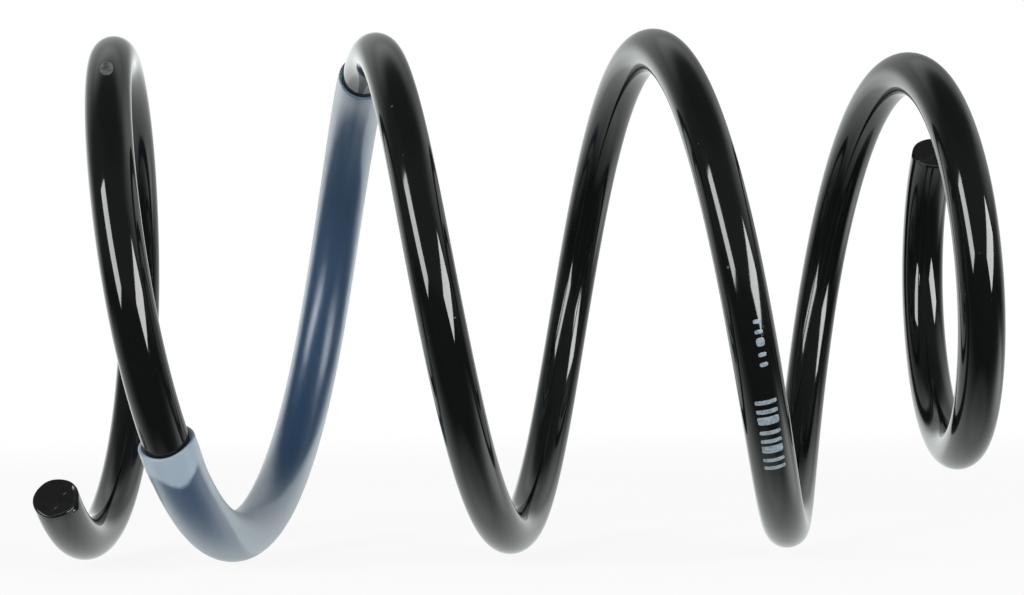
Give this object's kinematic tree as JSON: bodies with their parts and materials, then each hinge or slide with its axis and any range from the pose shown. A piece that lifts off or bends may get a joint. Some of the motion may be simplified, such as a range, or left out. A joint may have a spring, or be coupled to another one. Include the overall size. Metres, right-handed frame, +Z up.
{
  "type": "suspension coil spring",
  "caption": "Helical compression spring of round bar for a car's suspension strut, with a closing upper end coil and a plastic protective sleeve on the lower active turn.",
  "frame": {"origin": "on the surface that the spring lies on, half-way along it and below its axis", "axes": "+X along the spring's axis from the lower end coil to the upper end coil, +Y to the side where the bar climbs, +Z up"},
  "size_m": [0.2764, 0.1583, 0.1583],
  "materials": {
    "black_coating": "gloss",
    "sleeve_plastic": "gloss"
  },
  "bodies": {
    "lower_end": {"lower_end_coil": "black_coating", "active_coils": "black_coating", "protective_sleeve": "sleeve_plastic"},
    "upper_end": {"upper_end_coil": "black_coating"}
  },
  "joints": [
    {"name": "compression", "type": "slide", "parent": "lower_end", "child": "upper_end", "axis": [1, 0, 0], "range_m": [-0.15, 0], "stiffness_N_per_m": 29700, "deforming": ["active_coils", "protective_sleeve"]}
  ]
}
